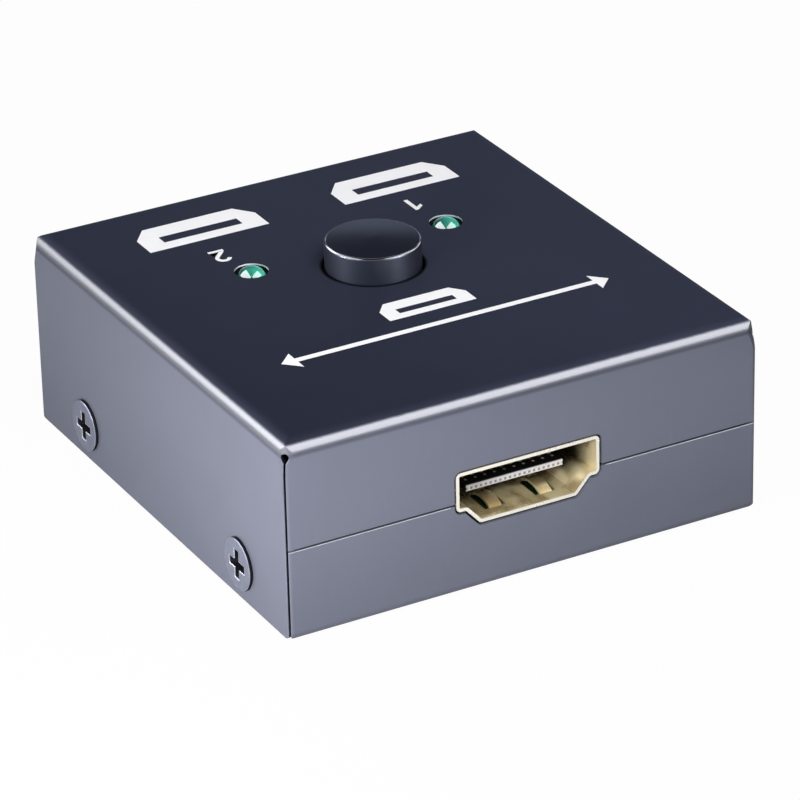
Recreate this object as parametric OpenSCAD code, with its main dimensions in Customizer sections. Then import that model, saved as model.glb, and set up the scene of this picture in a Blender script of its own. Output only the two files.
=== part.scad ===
// Two-way video switch box: folded sheet-metal case, push button, two indicator lights,
// one video socket in the front and two in the back.
// Millimetres. The origin is the middle of the underside, +X right, +Y back, +Z up.

/* [Case] */
// Width of the case, side to side
body_w = 48.5; // [46:0.1:60]
// Depth of the case, front to back
body_d = 51.2; // [49:0.1:64]
// Height of the case
body_h = 19.6; // [18:0.1:26]
// Thickness of the sheet metal
sheet_t = 0.8; // [0.6:0.05:1]
// Outside radius of the four bends round the top
bend_r = 1.5; // [1.2:0.1:2.5]
// Inside radius of the bends round the bottom
base_bend_in = 0.05; // [0.05:0.05:0.8]
// Height of the seam between the two covers
split_z = 9; // [8:0.1:11]
// Width of the seam
seam_gap = 0.15; // [0.05:0.05:0.4]
// Width of the slit along each mitred corner
corner_gap = 0.2; // [0.1:0.05:0.4]
// Rounding of the four upright corners
corner_r = 0.5; // [0.2:0.05:0.8]
// Reach of the wider rounding at the top of each corner
knuckle_r = 1.25; // [1.2:0.05:1.5]
// How far below the top that rounding runs out
knuckle_drop = 3.3; // [2.6:0.1:4]
// Lean of that rounding, in degrees
knuckle_lean = 8.8; // [6:0.2:10]
// Diameter of the relief hole at the top of each corner slit
relief_d = 0.75; // [0.5:0.05:1.2]
// Depth of the relief hole below the top
relief_drop = 1.5; // [1:0.05:1.8]
// Rounding of the lower corners of the side flanges
flange_corner_r = 0.8; // [0.3:0.1:2]
// Height of the side flanges inside, which take the case screws
tab_h = 7; // [6:0.1:8]
// Width of the relief notch at each end of those flanges
tab_relief = 0.8; // [0.5:0.1:3]
// Gap between the side flanges of the two covers
cover_gap = 0.1; // [0.05:0.05:0.3]

/* [Video sockets] */
// Inside width of a socket's mouth
mouth_w = 14.1; // [13.9:0.1:14.6]
// Inside height of a socket's mouth
mouth_h = 4.8; // [4.5:0.1:5.2]
// Width of the mouth's floor, between the sloping sides
mouth_floor_w = 9.65; // [9:0.05:10.2]
// Height of the shoulders above the floor
shoulder_z = 1.6; // [1.5:0.1:2.2]
// Slope of the sides below the shoulders, in degrees
mouth_slope = 48; // [45:1:70]
// Rounding of the mouth's outer corners
mouth_r = 0.15; // [0.1:0.05:0.5]
// Rounding of the hollow under each shoulder
hollow_r = 0.6; // [0.55:0.05:0.8]
// Thickness of the shell
shell_t = 0.25; // [0.2:0.05:0.3]
// Length of the shell
shell_l = 11.3; // [10.5:0.1:12.5]
// Thickness of the lip round the mouth
lip_t = 0.35; // [0.3:0.05:0.4]
// Length of the lip
lip_l = 0.6; // [0.4:0.1:0.9]
// How far the lip stays behind the face of the case
lip_sink = 0.12; // [0:0.02:0.4]
// Gap round the lip in the case
mouth_gap = 0.17; // [0.1:0.01:0.3]
// Width of a spring finger
finger_w = 1.25; // [1:0.05:1.6]
// Length of a spring finger
finger_l = 3.4; // [2.8:0.1:4]
// How far a spring finger bows into the mouth
finger_bow = 0.55; // [0.3:0.05:0.8]
// Slot on each side of a spring finger
finger_slot = 0.45; // [0.3:0.05:0.6]
// Distance of each spring finger from the middle
finger_x = 2.6; // [2.2:0.1:3.2]
// Depth of the spring fingers' roots behind the mouth
finger_y = 1.4; // [0.7:0.05:1.8]
// Width of a mounting leg
leg_w = 0.9; // [0.7:0.1:1.1]
// Width of the tongue across the mouth
tongue_w = 10; // [9.8:0.1:10.6]
// Thickness of the tongue
tongue_t = 0.7; // [0.6:0.05:1]
// Height of the tongue above the floor
tongue_z = 1.6; // [1.4:0.05:1.8]
// Depth of the tongue's front edge behind the mouth
tongue_y = 2.45; // [2:0.05:3.2]
// Depth of the moulded block that carries the tongue
block_y = 7.2; // [6:0.1:8]
// Gap between the moulded block and the shell
block_gap = 0.05; // [0.03:0.01:0.1]
// Pitch of the contacts in one row
contact_pitch = 1; // [0.9:0.01:1.02]
// Width of a contact
contact_w = 0.28; // [0.2:0.02:0.34]
// Thickness of a contact
contact_t = 0.15; // [0.1:0.01:0.2]
// How far the contacts stay behind the tongue's front edge
contact_inset = 1.5; // [0.4:0.05:1.8]
// Length of a contact's foot on the circuit board
foot_l = 0.9; // [0.6:0.1:1.2]
// Place of the front socket beside the middle of the front
front_x = 0.22; // [-1:0.02:1]
// Distance of each back socket and its light from the side of the case
port_edge = 13.9; // [13:0.05:14.4]

/* [Push button] */
// Distance of the button from the front
button_front = 28.05; // [27:0.05:31]
// Diameter of the cap
cap_d = 9.1; // [8:0.1:10.5]
// Gap round the cap in the top
cap_gap = 0.28; // [0.2:0.02:0.6]
// How far the cap stands above the top
button_proud = 2.8; // [2.2:0.1:4]
// Travel of the button
button_travel = 2; // [1:0.1:2.1]
// Rounding of the cap's rim
cap_rim_r = 0.3; // [0.2:0.05:0.8]
// Rise of the cap's domed top
cap_dome = 0.14; // [0.05:0.01:0.4]
// Depth of the cap below the underside of the top
cap_skirt = 2.4; // [2:0.1:3]
// Wall of the cap
cap_wall = 1; // [0.8:0.1:1.4]
// Thickness of the cap's crown
cap_crown = 1.6; // [1.2:0.1:2]
// Side of the push switch
switch_w = 8.5; // [8:0.1:9.5]
// Wall of the push switch
switch_wall = 0.7; // [0.5:0.05:0.9]
// Floor of the push switch
switch_floor = 1.4; // [1:0.1:1.8]
// Thickness of the push switch's cover
switch_lid_t = 0.4; // [0.3:0.05:0.5]
// Diameter of the plunger's shaft
shaft_d = 3.2; // [2.8:0.1:3.6]
// Thickness of the plunger's flange
plunger_flange_t = 1.4; // [1:0.1:1.6]
// Wire of the return spring
spring_wire = 0.4; // [0.3:0.02:0.5]
// Diameter of the return spring, at the middle of its wire
spring_d = 3.2; // [2.6:0.1:3.6]
// Turns of the return spring
spring_turns = 3.5; // [3:0.5:4.5]

/* [Indicator lights] */
// Distance of the lights from the back
led_back = 18.5; // [17:0.1:20]
// Diameter of a lens
led_d = 2.9; // [2.8:0.1:3.2]
// Gap round a lens in the top
led_gap = 0.16; // [0.1:0.02:0.5]
// Length of a lens from its base to its crown
led_l = 4.8; // [4.4:0.1:5.4]
// How far a lens's crown stands above the top
led_proud = 0.45; // [0:0.05:1]
// Diameter of the flange round a lens's base
led_flange_d = 3.8; // [3.4:0.1:4.2]
// Thickness of that flange
led_flange_t = 1; // [0.8:0.1:1.2]
// Pitch of the two leads
lead_pitch = 2.54; // [2.4:0.02:2.6]
// Thickness of a lead
lead_t = 0.5; // [0.4:0.02:0.56]

/* [Circuit board] */
// Thickness of the circuit board
board_t = 1.6; // [1.2:0.1:2]
// Gap between the circuit board and the case
board_gap = 0.6; // [0.4:0.05:0.8]
// Height of the standoffs under the board
standoff_h = 4.25; // [3.6:0.05:5]
// Diameter of a standoff
standoff_d = 4.6; // [4:0.1:5]
// Distance of the standoffs from the board's long edges
standoff_edge = 3; // [2.8:0.1:4]
// Side of the switching chip
chip_w = 8; // [6:0.1:8.4]
// Thickness of the switching chip
chip_t = 0.9; // [0.7:0.05:1.2]
// Length of a resistor or capacitor
passive_l = 1.6; // [1:0.1:1.8]
// Width of a resistor or capacitor
passive_w = 0.8; // [0.5:0.05:1]
// Thickness of a resistor
resistor_t = 0.45; // [0.3:0.05:0.6]
// Thickness of a capacitor
capacitor_t = 0.8; // [0.5:0.05:1]
// Length of a protection array
array_l = 2.5; // [2:0.1:2.6]
// Width of a protection array
array_w = 1; // [0.8:0.05:1.1]
// Thickness of a protection array
array_t = 0.5; // [0.4:0.05:0.6]

/* [Fasteners] */
// Thread diameter of the case screws
case_screw_d = 3; // [2.5:0.1:3]
// Head diameter of the case screws
case_head_d = 5; // [4.8:0.1:6]
// How far the heads of the case screws stand out of the sides
case_head_t = 0.34; // [0.2:0.02:0.6]
// Length of the case screws under the head
case_screw_l = 3.5; // [3:0.1:4]
// Width of the cross recess in a case screw
recess_w = 2.95; // [2.6:0.05:3.2]
// Width of one arm of the cross recess
recess_arm = 0.85; // [0.5:0.05:0.9]
// Distance of the case screws from the middle of their pair
case_screw_y = 15.8; // [12:0.1:17]
// Place of the middle of each pair behind the middle of the side
case_screw_mid = -0.55; // [-1:0.05:1]
// Height of the case screws
case_screw_z = 3.65; // [3.2:0.05:4]
// Thread diameter of the board screws
board_screw_d = 2.5; // [2:0.1:2.6]
// Head diameter of the board screws
board_head_d = 4.4; // [4:0.1:4.6]
// Head height of the board screws
board_head_t = 1.4; // [1:0.1:1.8]

/* [Hidden] */
$fn = 64;

// How far a cutting tool runs past the face it opens
over = 1;
// How far two shapes of one solid reach into each other
bite = 0.2;
// Radial clearance of a thread, a pressed shank or a moulded seat
seat_fit = 0.025;
// Radial clearance of a sliding shaft
slide_fit = 0.08;
// Radial clearance of a screw in a plain hole
screw_play = 0.15;
// How much wider a hole in the board is than the lead in it
solder_play = 0.2;
// Gap kept between small pieces that don't touch
air = 0.4;

// Case
flange_foot = 0.2;
base_bend_r = sheet_t + base_bend_in;
tab_face = body_w / 2 - sheet_t - cover_gap;
strip_end = body_d / 2 - base_bend_r - bite;
tab_l = 2 * (strip_end - tab_relief);
notch_w = base_bend_r + air;
relief_reach = 1.7;
relief_taper = 0.75 * relief_d;
mouth_cut = min(lip_t + mouth_gap, hollow_r - seat_fit);

// Case screws, with a cone under each head and a countersink in the side for it
case_cone_d = 0.86 * case_head_d;
case_cone_t = 0.8 * sheet_t;

// Circuit board, which the sockets and the switch stand on
board_z = sheet_t + standoff_h;
board_top = board_z + board_t;
board_w = body_w - 2 * (max(case_screw_l, 2 * sheet_t + cover_gap) + board_gap);
board_d = body_d - 2 * (sheet_t + board_gap);
lead_tip = 1;

// Sockets: each has its own frame at the middle of its mouth's floor, with depth along +Y
mouth_face = body_d / 2 - lip_sink;
port_x = body_w / 2 - port_edge;
socket_z = board_top + shell_t;
tail_gap = 0.15;
tail_end = shell_l + tail_gap + foot_l;
leg_depths = [3.4, 9.4];
leg_hole_d = norm([leg_w, shell_t]) + solder_play;
leg_x = mouth_w / 2 + shell_t / 2;
contact_front = tongue_y + contact_inset;
contact_sink = 0.8 * contact_t;
tongue_chamfer = 0.1;

// Button and push switch
button_y = button_front - body_d / 2;
cap_top = body_h + button_proud;
cap_foot = body_h - sheet_t - cap_skirt;
press_clear = 0.4;
switch_top = cap_foot - button_travel - press_clear;
housing_top = switch_top - switch_lid_t;
switch_well = board_top + switch_floor;
well_w = switch_w - 2 * switch_wall;
plunger_gap = 0.05;
plunger_top = housing_top - plunger_gap;
plunger_foot = plunger_top - plunger_flange_t;
pin_t = 0.4;
pin_w = 0.8;
pin_pitch = 2.5;
pin_hole_d = norm([pin_t, pin_w]) + solder_play;
pin_x = well_w / 2 - pin_t / 2 - plunger_gap;
bridge_t = 0.25;
bridge_x = pin_x - pin_t / 2 - slide_fit - bridge_t / 2;
plunger_w = 2 * (bridge_x - bridge_t / 2);
plunger_l = well_w - 2 * air;
bridge_l = 2 * pin_pitch;
pin_top = plunger_foot - plunger_gap;
boss_d = shaft_d + 2 * cap_wall;
shaft_top = cap_top - cap_crown;

// Lights, each in line with its socket
led_x = port_x;
led_y = body_d / 2 - led_back;
led_base = body_h + led_proud - led_l;
led_hole_d = led_d + 2 * led_gap;
lead_hole_d = lead_t * sqrt(2) + solder_play;
dome_z = led_l - led_d / 2;
frame_gap = 0.06;
frame_wide = 0.72;
frame_peak = [0.42, 0.65];

// Standoffs: the front pair beside the front socket, the back pair clear of the back sockets
standoff_x = board_w / 2 - standoff_edge;
standoff_front = -(board_d / 2 - standoff_edge - board_head_d / 2);
standoff_back = mouth_face - tail_end - board_head_d / 2 - air;
standoff_places = [for (x = [-1, 1], y = [standoff_front, standoff_back]) [x * standoff_x, y]];
stud_wall = 0.5;
stud_d = board_screw_d + 2 * stud_wall;
board_hole_d = board_screw_d + 2 * screw_play;
board_screw_l = board_t + standoff_h - air;

// Small parts on the board, between the front socket's tails and the push switch
array_y = -mouth_face + tail_end + air + array_w / 2;
array_step = array_l + air;
switch_front = button_y - switch_w / 2;
chip_y = (array_y + array_w / 2 + switch_front) / 2;
passive_step = passive_w + 2 * air;
capacitor_x = chip_w / 2 + 3 * air + passive_l / 2;
resistor_x = capacitor_x + passive_l + 2 * air;

// Section across a folded cover: square feet and two rounded corners at the top
module folded_section(w, h, r) {
    translate([-w / 2, 0])
        square([w, h - r]);
    translate([-w / 2 + r, 0])
        square([w - 2 * r, h]);
    for (side = [-1, 1])
        translate([side * (w / 2 - r), h - r])
            circle(r);
}

// Block whose top edges are rounded by the bends on all four sides
module folded_block(w, d, h, r) {
    intersection() {
        along_y(-d / 2, d / 2)
            folded_section(w, h, r);
        along_x(-w / 2, w / 2)
            folded_section(d, h, r);
    }
}

// Extrudes an outline drawn in X and Z from one depth to another
module along_y(from, to) {
    translate([0, to, 0])
        rotate([90, 0, 0])
            linear_extrude(to - from)
                children();
}

// Extrudes an outline drawn in Y and Z from one side to another
module along_x(from, to) {
    translate([from, 0, 0])
        rotate([90, 0, 90])
            linear_extrude(to - from)
                children();
}

// Rectangle with rounded corners, around the origin
module rounded_plan(w, d, r) {
    square([w - 2 * r, d], center = true);
    square([w, d - 2 * r], center = true);
    for (x = [-1, 1], y = [-1, 1])
        translate([x * (w / 2 - r), y * (d / 2 - r)])
            circle(r);
}

// Plan of the front and back strips, which end in mitres at the corners
module end_strips(depth, beyond) {
    for (side = [0, 180])
        rotate(side)
            polygon([
                [-body_w / 2 - beyond, -body_d / 2 - beyond],
                [body_w / 2 + beyond, -body_d / 2 - beyond],
                [body_w / 2 - depth, -body_d / 2 + depth],
                [-body_w / 2 + depth, -body_d / 2 + depth]]);
}

// Slit down each corner, with a drop-shaped relief at its top
module corner_slits() {
    for (x = [-1, 1], y = [-1, 1])
        translate([x * body_w / 2, y * body_d / 2, body_h - relief_drop])
            rotate(atan2(y, x))
                along_x(-relief_reach, over) {
                    translate([-corner_gap / 2, -body_h])
                        square([corner_gap, body_h]);
                    relief_outline();
                }
}

// Round hole that narrows into the slit below it, along two tangents
module relief_outline() {
    neck = [corner_gap / 2, -relief_taper];
    lean = atan2(neck.y, neck.x) + acos(relief_d / 2 / norm(neck));
    side = [cos(lean), sin(lean)] * relief_d / 2;
    circle(d = relief_d);
    polygon([side, neck, [-neck.x, neck.y], [-side.x, side.y]]);
}

// Waste outside the wider rounding at the top of each corner: a leaning cone that starts where
// the upright corner's own rounding ends
module knuckle_waste() {
    foot_r = knuckle_r * sqrt(2) - corner_r * (sqrt(2) - 1);
    tall = knuckle_drop + over;
    for (x = [0, 1], y = [0, 1])
        mirror([x, 0, 0])
            mirror([0, y, 0])
                translate([body_w / 2 - knuckle_r, body_d / 2 - knuckle_r, body_h - knuckle_drop])
                    difference() {
                        cube([knuckle_r + over, knuckle_r + over, tall]);
                        rotate_extrude()
                            polygon([[0, -over], [foot_r, -over], [foot_r, 0],
                                [foot_r - tall * tan(knuckle_lean), tall], [0, tall + over]]);
                    }
}

// Outline of a socket's mouth, grown outwards by an offset
module mouth_outline(grow) {
    half_w = mouth_w / 2;
    half_floor = mouth_floor_w / 2;
    run = [cos(mouth_slope), sin(mouth_slope)];
    out = [sin(mouth_slope), -cos(mouth_slope)];
    foot = [half_floor - mouth_r * tan(mouth_slope / 2), mouth_r];
    toe = foot + (mouth_r + grow) * out;
    knee = toe + run * (shoulder_z + mouth_r - toe.y) / run.y;
    hollow_z = shoulder_z - hollow_r;
    hollow = [half_floor + (hollow_r + hollow_z * run.x) / run.y, hollow_z];
    reach = hollow_r - grow + bite;
    // Upper part, between the shoulders and the top
    translate([-half_w - grow, shoulder_z + mouth_r])
        square([mouth_w + 2 * grow, mouth_h - shoulder_z - 2 * mouth_r]);
    translate([mouth_r - half_w, shoulder_z - grow])
        square([mouth_w - 2 * mouth_r, mouth_h - shoulder_z + 2 * grow]);
    for (x = [-1, 1], z = [shoulder_z + mouth_r, mouth_h - mouth_r])
        translate([x * (half_w - mouth_r), z])
            circle(mouth_r + grow);
    // Lower part, between the slopes
    polygon([[-foot.x, -grow], [foot.x, -grow], toe, knee, [-knee.x, knee.y], [-toe.x, toe.y]]);
    for (side = [-1, 1])
        translate([side * foot.x, foot.y])
            circle(mouth_r + grow);
    // Hollows under the shoulders
    for (side = [0, 1])
        mirror([side, 0])
            difference() {
                polygon([hollow, hollow + [0, reach], knee, hollow - reach * out]);
                translate(hollow)
                    circle(hollow_r - grow);
            }
}

// Puts what follows at the front socket, or at one of the two back sockets
module at_front() {
    translate([front_x, -mouth_face, socket_z])
        children();
}

module at_port(number) {
    translate([number == 1 ? port_x : -port_x, mouth_face, socket_z])
        rotate(180)
            children();
}

module at_every_socket() {
    at_front()
        children();
    for (number = [1, 2])
        at_port(number)
            children();
}

// Top cover
module top_cover() {
    color("slategray")
        difference() {
            intersection() {
                folded_block(body_w, body_d, body_h, bend_r);
                translate([0, 0, flange_foot])
                    linear_extrude(body_h)
                        rounded_plan(body_w, body_d, corner_r);
            }
            translate([0, 0, -over])
                folded_block(body_w - 2 * sheet_t, body_d - 2 * sheet_t,
                    body_h - sheet_t + over, bend_r - sheet_t);
            translate([0, 0, -over])
                linear_extrude(split_z + seam_gap / 2 + over)
                    end_strips(bend_r + sheet_t, over);
            corner_slits();
            flange_corners();
            knuckle_waste();
            translate([0, button_y, body_h - sheet_t - over])
                cylinder(d = cap_d + 2 * cap_gap, h = sheet_t + 2 * over);
            for (side = [-1, 1])
                translate([side * led_x, led_y, body_h - sheet_t - over])
                    cylinder(d = led_hole_d, h = sheet_t + 2 * over);
            mouth_cuts();
            at_case_screws()
                case_screw_seat();
        }
}

// Waste outside the rounded lower corners of the side flanges
module flange_corners() {
    along_x(-body_w / 2 - over, body_w / 2 + over)
        for (side = [0, 1])
            mirror([side, 0])
                translate([body_d / 2 - flange_corner_r, flange_foot + flange_corner_r])
                    difference() {
                        translate([0, -flange_corner_r - over])
                            square([flange_corner_r + over, flange_corner_r + over]);
                        circle(flange_corner_r);
                    }
}

// Openings for the sockets' lips
module mouth_cuts() {
    at_every_socket()
        along_y(-over, sheet_t + over)
            mouth_outline(mouth_cut);
}

// Puts what follows at each case screw, with +Z out of the side
module at_case_screws() {
    for (side = [0, 1], y = [-1, 1])
        mirror([side, 0, 0])
            translate([body_w / 2, case_screw_mid + y * case_screw_y, case_screw_z])
                rotate([0, 90, 0])
                    children();
}

// Countersunk hole in the side
module case_screw_seat() {
    hole_r = case_screw_d / 2 + screw_play;
    sink_r = case_cone_d / 2 + screw_play;
    rotate_extrude()
        polygon([
            [0, -case_screw_l], [hole_r, -case_screw_l], [hole_r, -case_cone_t],
            [sink_r, 0], [sink_r, over], [0, over]]);
}

// Bottom cover
module bottom_cover() {
    color("slategray")
        difference() {
            union() {
                base_ends();
                base_sides();
            }
            corner_slits();
            mouth_cuts();
            at_case_screws()
                translate([0, 0, -case_screw_l])
                    cylinder(d = case_screw_d + 2 * seat_fit, h = case_screw_l);
            for (place = standoff_places)
                translate([place.x, place.y, -over])
                    cylinder(d = stud_d + 2 * seat_fit, h = sheet_t + 2 * over);
        }
}

// Bottom plate, notched at its corners, with the front and back flanges
module base_ends() {
    rim_z = split_z - seam_gap / 2;
    intersection() {
        along_x(-body_w / 2, body_w / 2)
            difference() {
                translate([0, rim_z])
                    mirror([0, 1])
                        folded_section(body_d, rim_z, base_bend_r);
                translate([0, rim_z + over])
                    mirror([0, 1])
                        folded_section(body_d - 2 * sheet_t, rim_z + over - sheet_t,
                            base_bend_r - sheet_t);
            }
        linear_extrude(rim_z)
            intersection() {
                rounded_plan(body_w, body_d, corner_r);
                union() {
                    end_strips(sheet_t + cover_gap, 0);
                    square([2 * (tab_face - notch_w), body_d - 2 * sheet_t], center = true);
                }
            }
    }
}

// Side flanges, which stand inside those of the top cover
module base_sides() {
    along_y(-tab_l / 2, tab_l / 2)
        difference() {
            translate([0, tab_h])
                mirror([0, 1])
                    folded_section(2 * tab_face, tab_h, base_bend_r);
            translate([0, tab_h + over])
                mirror([0, 1])
                    folded_section(2 * (tab_face - sheet_t), tab_h + over - sheet_t,
                        base_bend_r - sheet_t);
        }
}

// Four low-headed screws with cross recesses, which rest on the sides by their rims
module case_screws() {
    color("lightslategray")
        at_case_screws()
            difference() {
                rotate_extrude()
                    case_screw_section();
                cross_recess();
            }
}

module case_screw_section() {
    crown = 0.08;
    head_r = case_head_d / 2;
    polygon([
        [0, -case_screw_l], [case_screw_d / 2, -case_screw_l], [case_screw_d / 2, -case_cone_t],
        [case_cone_d / 2, 0], [head_r, 0], [head_r, case_head_t - crown],
        [head_r - crown, case_head_t], [0, case_head_t]]);
    intersection() {
        translate([head_r - crown, case_head_t - crown])
            circle(crown);
        square([case_head_d, case_head_t]);
    }
}

// Cross recess, which narrows to its point below the head
module cross_recess() {
    recess_deep = 1.4;
    for (turn = [0, 90])
        rotate(turn)
            along_y(-recess_arm / 2, recess_arm / 2)
                polygon([
                    [-recess_w / 2, case_head_t + over],
                    [-recess_w / 2, case_head_t],
                    [-recess_arm / 2, case_head_t - recess_deep],
                    [recess_arm / 2, case_head_t - recess_deep],
                    [recess_w / 2, case_head_t],
                    [recess_w / 2, case_head_t + over]]);
}

// Plated shell of a socket, with its lip, spring fingers and mounting legs
module socket_shell() {
    window_w = finger_w + 2 * finger_slot;
    window_l = finger_l + finger_slot;
    color("gold") {
        difference() {
            union() {
                along_y(0, shell_l)
                    mouth_outline(shell_t);
                along_y(0, lip_l)
                    mouth_outline(lip_t);
                socket_legs();
            }
            along_y(-over, shell_l + over)
                mouth_outline(0);
            for (x = [-1, 1])
                translate([x * finger_x - window_w / 2, finger_y, -over])
                    cube([window_w, window_l, mouth_h + 2 * over]);
        }
        for (x = [-1, 1]) {
            translate([x * finger_x, finger_y, 0])
                spring_finger();
            translate([x * finger_x, finger_y, mouth_h])
                mirror([0, 0, 1])
                    spring_finger();
        }
    }
}

// Legs that go through the circuit board
module socket_legs() {
    leg_foot = -shell_t - board_t - lead_tip;
    for (x = [-1, 1], depth = leg_depths)
        translate([x * leg_x - shell_t / 2, depth - leg_w / 2, leg_foot])
            cube([shell_t, leg_w, shoulder_z + 2 * mouth_r - leg_foot]);
}

// Strip cut free on three sides and bowed into the mouth, rooted at its front
module spring_finger() {
    half_l = finger_l / 2;
    bow_r = (half_l * half_l + finger_bow * finger_bow) / (2 * finger_bow);
    along_x(-finger_w / 2, finger_w / 2)
        intersection() {
            translate([half_l, finger_bow - bow_r - shell_t / 2])
                difference() {
                    circle(bow_r + shell_t / 2);
                    circle(bow_r - shell_t / 2);
                }
            translate([-bite, -shell_t])
                square([finger_l + bite, finger_bow + 2 * shell_t]);
        }
}

// Moulded block with the tongue, grooved for the contacts
module socket_insulator() {
    color("black")
        difference() {
            union() {
                along_y(block_y, shell_l - block_gap)
                    mouth_outline(-block_gap);
                along_x(-tongue_w / 2, tongue_w / 2)
                    polygon([
                        [tongue_y, tongue_z + tongue_chamfer],
                        [tongue_y + tongue_chamfer, tongue_z],
                        [block_y + bite, tongue_z],
                        [block_y + bite, tongue_z + tongue_t],
                        [tongue_y + tongue_chamfer, tongue_z + tongue_t],
                        [tongue_y, tongue_z + tongue_t - tongue_chamfer]]);
            }
            for (row = [0, 1], x = contact_row(row))
                translate([x - contact_w / 2 - seat_fit, contact_front, contact_z(row)])
                    cube([contact_w + 2 * seat_fit, shell_l + over, contact_t]);
        }
}

// Places of the contacts across the tongue: ten above it and nine between them below
function contact_row(row) =
    let (count = row == 1 ? 10 : 9)
    [for (i = [0:count - 1]) (i - (count - 1) / 2) * contact_pitch];

// Height of a row of contacts, sunk into the tongue's face
function contact_z(row) =
    row == 1 ? tongue_z + tongue_t - contact_sink : tongue_z + contact_sink - contact_t;

// Nineteen contacts, bent down behind the block to their feet on the board
module socket_contacts() {
    color("goldenrod")
        for (row = [0, 1], x = contact_row(row))
            along_x(x - contact_w / 2, x + contact_w / 2)
                contact_outline(contact_z(row));
}

module contact_outline(z) {
    bend_y = shell_l + tail_gap;
    polygon([
        [contact_front, z],
        [bend_y, z],
        [bend_y, -shell_t],
        [bend_y + foot_l, -shell_t],
        [bend_y + foot_l, contact_t - shell_t],
        [bend_y + contact_t, contact_t - shell_t],
        [bend_y + contact_t, z + contact_t],
        [contact_front, z + contact_t]]);
}

module front_socket_shell() {
    at_front()
        socket_shell();
}

module front_socket_insulator() {
    at_front()
        socket_insulator();
}

module front_socket_contacts() {
    at_front()
        socket_contacts();
}

module port_shell(number) {
    at_port(number)
        socket_shell();
}

module port_insulator(number) {
    at_port(number)
        socket_insulator();
}

module port_contacts(number) {
    at_port(number)
        socket_contacts();
}

// Round cap: domed top, rounded rim, hollow underside, boss that takes the plunger's shaft
module button_cap() {
    color([0.12, 0.13, 0.16])
        translate([0, button_y, 0])
            rotate_extrude() {
                cap_wall_section();
                translate([shaft_d / 2 + seat_fit, cap_foot])
                    square([boss_d / 2 - shaft_d / 2 - seat_fit, shaft_top - cap_foot + bite]);
            }
}

module cap_wall_section() {
    rim_z = cap_top - cap_dome;
    top_r = cap_d / 2 - cap_rim_r;
    dome_r = (top_r * top_r + cap_dome * cap_dome) / (2 * cap_dome);
    difference() {
        union() {
            translate([0, cap_foot])
                square([cap_d / 2, rim_z - cap_rim_r - cap_foot]);
            translate([0, cap_foot])
                square([top_r, rim_z - cap_foot]);
            translate([top_r, rim_z - cap_rim_r])
                circle(cap_rim_r);
            intersection() {
                translate([0, cap_top - dome_r])
                    circle(dome_r, $fn = 8 * $fn);
                translate([0, rim_z - bite])
                    square([top_r, cap_dome + bite]);
            }
        }
        translate([-over, cap_foot - over])
            square([cap_d / 2 - cap_wall + over, shaft_top - cap_foot + over]);
    }
}

// Push switch: open-topped housing with slots for its pins
module switch_housing() {
    edge_r = 0.3;
    color("dimgray")
        translate([0, button_y, 0])
            difference() {
                translate([0, 0, board_top])
                    linear_extrude(housing_top - board_top)
                        rounded_plan(switch_w, switch_w, edge_r);
                translate([0, 0, switch_well])
                    linear_extrude(housing_top)
                        square(well_w, center = true);
                at_pins()
                    translate([0, 0, board_top - over])
                        linear_extrude(switch_floor + 2 * over)
                            square([pin_t + 2 * seat_fit, pin_w + 2 * seat_fit], center = true);
            }
}

// Puts what follows at each pin of the push switch, seen from the switch's middle
module at_pins() {
    for (x = [-1, 1], y = [-1, 0, 1])
        translate([x * pin_x, y * pin_pitch, 0])
            children();
}

// Metal lid of the push switch, held by two clips down its sides
module switch_cover() {
    clip_w = 3;
    clip_l = 3;
    color("silver")
        translate([0, button_y, 0])
            difference() {
                union() {
                    translate([0, 0, housing_top])
                        linear_extrude(switch_lid_t)
                            square([switch_w, switch_w + 2 * switch_lid_t], center = true);
                    for (side = [-1, 1])
                        translate([-clip_w / 2, side * (switch_w + switch_lid_t) / 2 - switch_lid_t / 2,
                            housing_top - clip_l])
                            cube([clip_w, switch_lid_t, clip_l + bite]);
                }
                translate([0, 0, housing_top - over])
                    cylinder(d = shaft_d + 2 * slide_fit, h = switch_lid_t + 2 * over);
            }
}

// Plunger: a flange under the lid and a shaft up into the cap
module switch_plunger() {
    color("white")
        translate([0, button_y, plunger_foot]) {
            linear_extrude(plunger_flange_t)
                square([plunger_w, plunger_l], center = true);
            cylinder(d = shaft_d, h = shaft_top - plunger_foot);
        }
}

// Sliding contact strips on both sides of the plunger's flange
module switch_bridge() {
    color("peru")
        for (side = [-1, 1])
            translate([side * bridge_x, button_y, plunger_foot])
                linear_extrude(plunger_flange_t)
                    square([bridge_t, bridge_l], center = true);
}

// Six pins, from beside the plunger down through the board
module switch_pins() {
    pin_foot = board_z - lead_tip;
    color("silver")
        translate([0, button_y, pin_foot])
            at_pins()
                linear_extrude(pin_top - pin_foot)
                    square([pin_t, pin_w], center = true);
}

// Return spring between the switch's floor and the plunger, one helical tube
module switch_spring() {
    sides = 6;
    rings_per_turn = 12;
    rings = floor(spring_turns * rings_per_turn);
    rise = plunger_foot - switch_well - spring_wire - 2 * seat_fit;
    points = [for (i = [0:rings], j = [0:sides - 1])
        let (turn = 360 * i / rings_per_turn,
            bead = 360 * j / sides,
            radius = (spring_d + spring_wire * cos(bead)) / 2,
            climb = rise * i / rings + spring_wire * sin(bead) / 2)
        [radius * cos(turn), radius * sin(turn), climb]];
    walls = [for (i = [0:rings - 1], j = [0:sides - 1], half = [0, 1])
        let (a = i * sides + j,
            b = i * sides + (j + 1) % sides)
        half == 0 ? [a, b, b + sides] : [a, b + sides, a + sides]];
    ends = [for (j = [1:sides - 2], end = [0, 1])
        let (first = end * rings * sides)
        end == 0 ? [first, first + j + 1, first + j] : [first, first + j, first + j + 1]];
    color("gainsboro")
        translate([0, button_y, switch_well + spring_wire / 2 + seat_fit])
            polyhedron(points, concat(walls, ends));
}

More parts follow.
